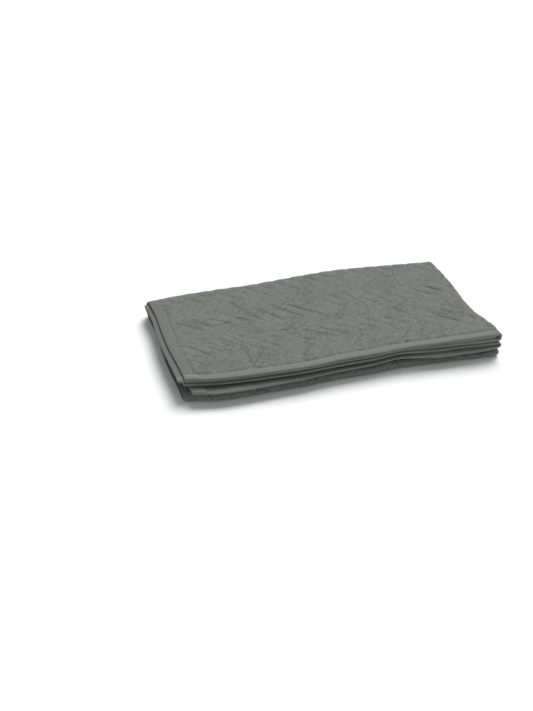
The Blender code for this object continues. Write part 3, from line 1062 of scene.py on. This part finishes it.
def ramp(tree, factor, *stops):
    """Colours between two stops, each a position and a screen colour."""
    node = add(tree, "ShaderNodeValToRGB", [], [("Fac", factor)])
    for element, (position, code) in zip(node.color_ramp.elements, stops):
        element.position = position
        element.color = linear(code)
    return node.outputs["Color"]


def bump(tree, height, strength, distance, normal=None, **settings):
    """A bump on top of another one, if that is given."""
    links = [("Height", height)] + ([("Normal", normal)] if normal else [])
    sizes = [("Strength", strength), ("Distance", distance)]
    return add(tree, "ShaderNodeBump", sizes, links, **settings).outputs["Normal"]


def start_material(name, roughness, sheen):
    """A material with a shader on its output, and the flat cloth's place in millimetres."""
    made = bpy.data.materials.new(name)
    made.use_nodes = True
    tree = made.node_tree
    shader = tree.nodes["Principled BSDF"]
    shader.inputs["Roughness"].default_value = roughness
    shader.inputs["IOR"].default_value = 1.5
    shader.inputs["Sheen Weight"].default_value = sheen
    shader.inputs["Sheen Roughness"].default_value = 0.6
    place = add(tree, "ShaderNodeTexCoord")
    in_mm = add(tree, "ShaderNodeMapping", [("Scale", (1000.0, 1000.0, 1000.0))],
                [("Vector", place.outputs["UV"])])
    return made, tree, shader, in_mm.outputs["Vector"]


print("mid grey", [round(v, 3) for v in linear("7A7F7A")])

# %% [markdown]
# ### Woven cotton and polyester cloth
#
# The cloth is a plain weave of grey and slightly greener yarns, washed once and never ironed. To
# the eye it is matt, with a fine grain where single yarns are lighter or darker. The real yarns
# are about 0.6 mm apart, too fine to show from here, so the grain is drawn at 1.6 mm.

# %% Cloth material
WAVE_AT_ONE = math.pi / 10  # the distance between a wave texture's bands at a scale of 1
YARN = 1.6
GRAIN = 2.6
PATCHES = 60.0
SLACK = 9.0
SLACK_LEAN = -50.0
SLACK_STRETCH = 2.9
CRUMPLES = (  # size of a facet, its lean and stretch, width of a line, seed
    (12.0, -50.0, 2.6, 0.13, 3.0),
    (7.5, 30.0, 2.0, 0.17, 40.0),
)


def leaned(tree, mm, lean, stretch):
    """The flat place turned by a lean in degrees, and drawn out along it."""
    turned = add(tree, "ShaderNodeMapping", [("Rotation", (0.0, 0.0, math.radians(lean))),
                 ("Scale", (stretch, 1.0, 1.0))], [("Vector", mm)], vector_type="TEXTURE")
    return turned.outputs["Vector"]


def crumple_lines(tree, mm, size, lean, stretch, width, seed):
    """Thin lines where the cloth's crumpled facets meet, in some places only. They bend the normal, and the
    colour is also darkened along them as painted shade.
    """
    mm = leaned(tree, mm, lean, stretch)
    stray = add(tree, "ShaderNodeTexNoise", [("Scale", 1.0 / (1.6 * size)), ("Detail", 2.0)],
                [("Vector", mm)])
    bent = add(tree, "ShaderNodeVectorMath", [(1, (1.5 * size, 1.5 * size, seed))],
               [(0, stray.outputs["Color"]), (2, mm)], operation="MULTIPLY_ADD")
    facets = add(tree, "ShaderNodeTexVoronoi", [("Scale", 1.0 / size)], [("Vector", bent.outputs["Vector"])],
                 feature="DISTANCE_TO_EDGE", voronoi_dimensions="2D")
    line = add(tree, "ShaderNodeMapRange", [("From Min", 0.0), ("From Max", width), ("To Min", 1.0),
               ("To Max", 0.0)], [("Value", facets.outputs["Distance"])], interpolation_type="SMOOTHSTEP")
    area = add(tree, "ShaderNodeTexNoise", [("Scale", 1.0 / (2.2 * size)), ("Detail", 1.0)],
               [("Vector", bent.outputs["Vector"])])
    here = add(tree, "ShaderNodeMapRange", [("From Min", 0.44), ("From Max", 0.66)],
               [("Value", area.outputs["Fac"])], interpolation_type="SMOOTHSTEP")
    return add(tree, "ShaderNodeMath", [], [(0, line.outputs["Result"]), (1, here.outputs["Result"])],
               operation="MULTIPLY").outputs["Value"]


def cloth_material():
    made, tree, shader, mm = start_material("woven cotton cloth, quilted", 0.92, 0.15)
    yarns = [("Scale", WAVE_AT_ONE / YARN), ("Distortion", 1.2), ("Detail", 1.0), ("Detail Scale", 0.6)]
    warp, weft = (add(tree, "ShaderNodeTexWave", yarns, [("Vector", mm)], bands_direction=way)
                  for way in ("X", "Y"))
    weave = add(tree, "ShaderNodeMath", [], [(0, warp.outputs["Fac"]), (1, weft.outputs["Fac"])],
                operation="MULTIPLY")
    grain = add(tree, "ShaderNodeTexNoise", [("Scale", 1.0 / GRAIN), ("Detail", 3.0), ("Roughness", 0.6)],
                [("Vector", mm)])
    patches = add(tree, "ShaderNodeTexNoise", [("Scale", 1.0 / PATCHES), ("Detail", 2.0)], [("Vector", mm)])
    large, small = (crumple_lines(tree, mm, *row) for row in CRUMPLES)
    # The crumple lines and the crease layer darken the colour towards a near black grey: painted shade in
    # creases, sewn lines and dimples.
    folds = add(tree, "ShaderNodeMath", [(1, 0.6)], [(0, small), (2, large)], operation="MULTIPLY_ADD")
    painted_crease_shade = add(tree, "ShaderNodeAttribute", attribute_name="crease")
    crease_shade_sum = add(tree, "ShaderNodeMath", [(1, 0.5)], [(0, folds.outputs["Value"]),
               (2, painted_crease_shade.outputs["Fac"])], operation="MULTIPLY_ADD")
    yarn_colour = ramp(tree, grain.outputs["Fac"], (0.32, "5F625F"), (0.68, "787B77"))
    patch_colour = ramp(tree, patches.outputs["Fac"], (0.35, "F3F3F3"), (0.65, "FFFFFF"))
    colour = add(tree, "ShaderNodeMix", [("Factor", 1.0)], [("A", yarn_colour), ("B", patch_colour)],
                 data_type="RGBA", blend_type="MULTIPLY")
    # Painted shade: the colour is mixed towards dark grey where the creases lie.
    crease_shade_share = add(tree, "ShaderNodeMapRange", [("To Max", 0.40)], [("Value", crease_shade_sum.outputs["Value"])])
    painted_shade = add(tree, "ShaderNodeMix", [("B", linear("2E302E"))], [("Factor", crease_shade_share.outputs["Result"]),
               ("A", colour.outputs["Result"])], data_type="RGBA")
    tree.links.new(painted_shade.outputs["Result"], shader.inputs["Base Color"])
    weave_bump = bump(tree, weave.outputs["Value"], 0.35, 0.0003)
    grain_bump = bump(tree, grain.outputs["Fac"], 0.55, 0.0008, weave_bump)
    slack = add(tree, "ShaderNodeTexNoise", [("Scale", 1.0 / SLACK), ("Detail", 2.0),
                ("Distortion", 0.6)], [("Vector", leaned(tree, mm, SLACK_LEAN, SLACK_STRETCH))])
    slack_bump = bump(tree, slack.outputs["Fac"], 1.0, 0.0065, grain_bump)
    fold_bump = bump(tree, folds.outputs["Value"], 0.65, 0.0012, slack_bump, invert=True)
    tree.links.new(fold_bump, shader.inputs["Normal"])
    return made


cloth.data.materials.append(cloth_material())
print(cloth.data.materials[0].name)

# %% [markdown]
# ### Binding tape
#
# The tape is a close polyester twill, a little lighter and smoother than the cloth, with ribs across it that
# catch the light. The side tapes are painted a little darker: painted shade on the blanket's sides.

# %% Tape material
RIB = 1.3


def tape_material(name, dark, light):
    made, tree, shader, mm = start_material(name, 0.82, 0.12)
    ribs = add(tree, "ShaderNodeTexWave", [("Scale", WAVE_AT_ONE / RIB), ("Distortion", 0.8),
               ("Detail", 1.0), ("Detail Scale", 0.8)], [("Vector", mm)], bands_direction="X")
    grain = add(tree, "ShaderNodeTexNoise", [("Scale", 1.0 / GRAIN), ("Detail", 2.0)], [("Vector", mm)])
    tone = ramp(tree, grain.outputs["Fac"], (0.3, dark), (0.7, light))
    tree.links.new(tone, shader.inputs["Base Color"])
    rib_bump = bump(tree, ribs.outputs["Fac"], 0.30, 0.0003)
    tree.links.new(rib_bump, shader.inputs["Normal"])
    return made


end_finish = tape_material("woven polyester tape", "636662", "767975")
# The darker copy for the side tapes is painted shade.
shaded_side_finish = tape_material("woven polyester tape, worn", "575A57", "6B6E6A")
for piece in tapes:
    at_end = piece in (end_tape_top, end_tape_inner)
    piece.data.materials.append(end_finish if at_end else shaded_side_finish)
print(end_finish.name)

# %% [markdown]
# ### Sewing thread
#
# Polyester thread is smooth, so it is a little glossier than either cloth. The quilting thread is painted a
# darker grey than the binding's, as painted shade for the troughs it lies in, and the lap thread is painted
# lightest, as a painted highlight for the glint of its close rows.


# %% Thread materials
def thread_material(name, dark, light):
    made = bpy.data.materials.new(name)
    made.use_nodes = True
    tree = made.node_tree
    shader = tree.nodes["Principled BSDF"]
    shader.inputs["Roughness"].default_value = 0.55
    shader.inputs["Sheen Weight"].default_value = 0.1
    place = add(tree, "ShaderNodeTexCoord")
    twist = add(tree, "ShaderNodeTexNoise", [("Scale", 900.0), ("Detail", 1.0)],
                [("Vector", place.outputs["Object"])])
    tone = ramp(tree, twist.outputs["Fac"], (0.0, dark), (1.0, light))
    tree.links.new(tone, shader.inputs["Base Color"])
    return made


binding_thread.data.materials.append(thread_material("spun polyester thread, mid grey", "767A75", "9EA29D"))
# The lap thread's lighter grey is a painted highlight.
lap_thread.data.materials.append(thread_material("spun polyester thread, light grey", "929690", "BFC2BD"))
# The quilting thread's darker grey is painted shade.
quilting_thread.data.materials.append(thread_material("spun polyester thread, grey", "4E514E", "7A7D7A"))
print("threads done")

# %% [markdown]
# ## Ride and replace
#
# Every piece rides on the blanket's one body, and takes the place of its solid. The cloth and
# the tapes are sheets: their flat sizes are what a maker would cut.

# %% Ride on the body and hide the solids that the pieces replace
NODES = {cloth: "quilted_pad", end_tape_top: "end_binding_top", end_tape_inner: "end_binding_inner",
         side_tape_outer: "side_binding_outer", side_tape_inner: "side_binding_inner"}
for piece, node in NODES.items():
    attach(piece, "root")
    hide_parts(node)
threads = (quilting_thread, binding_thread, lap_thread)
for piece in threads:
    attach(piece, "root")

# %% [markdown]
# ## Floor, light and camera
#
# The floor is pale and plain. The light is soft and comes from above and behind, a little from
# the right, so that the front of the stack lies in its own shade. Two suns with a wide angle do
# this evenly over the whole floor, which no lamp near the object could.

# %% Floor
FLOOR_HALF = 9.0


def floor():
    bm = bmesh.new()
    bmesh.ops.create_grid(bm, x_segments=1, y_segments=1, size=FLOOR_HALF)
    item = finished("floor", bm, 30)
    item.location.z = -0.0002
    made = bpy.data.materials.new("painted board, white")
    made.use_nodes = True
    shader = made.node_tree.nodes["Principled BSDF"]
    shader.inputs["Base Color"].default_value = linear("F2F2F2")
    shader.inputs["Roughness"].default_value = 0.9
    item.data.materials.append(made)


floor()

# %% Light
SUNS = (  # name, height above the floor, turn from behind to the right, strength, width of the disc
    ("key", 58.0, 35.0, 3.1, 35.0),
    ("fill", 50.0, 190.0, 0.35, 80.0),
)


def sun(name, height, turn, strength, width):
    data = bpy.data.lights.new(name, "SUN")
    data.energy = strength
    data.angle = math.radians(width)
    item = bpy.data.objects.new(name, data)
    item.rotation_euler = Euler((math.radians(height - 90.0), 0.0, math.radians(-turn)), "XYZ")
    bpy.context.scene.collection.objects.link(item)


for row in SUNS:
    sun(*row)
world = bpy.data.worlds.new("studio")
world.use_nodes = True
world.node_tree.nodes["Background"].inputs["Color"].default_value = linear("F4F6F8")
world.node_tree.nodes["Background"].inputs["Strength"].default_value = 0.28
bpy.context.scene.world = world
bpy.context.scene.view_settings.view_transform = "Standard"

# %% Camera
FOCAL_LENGTH = 41.79
camera_data = bpy.data.cameras.new("camera")
camera_data.lens = FOCAL_LENGTH
camera_data.sensor_width = 36.0
camera = bpy.data.objects.new("camera", camera_data)
camera.location = (-0.412046, -1.340510, 1.01501)
camera.rotation_euler = Euler((math.radians(52.516), 0.0, math.radians(-12.908)), "XYZ")
bpy.context.scene.collection.objects.link(camera)
bpy.context.scene.camera = camera
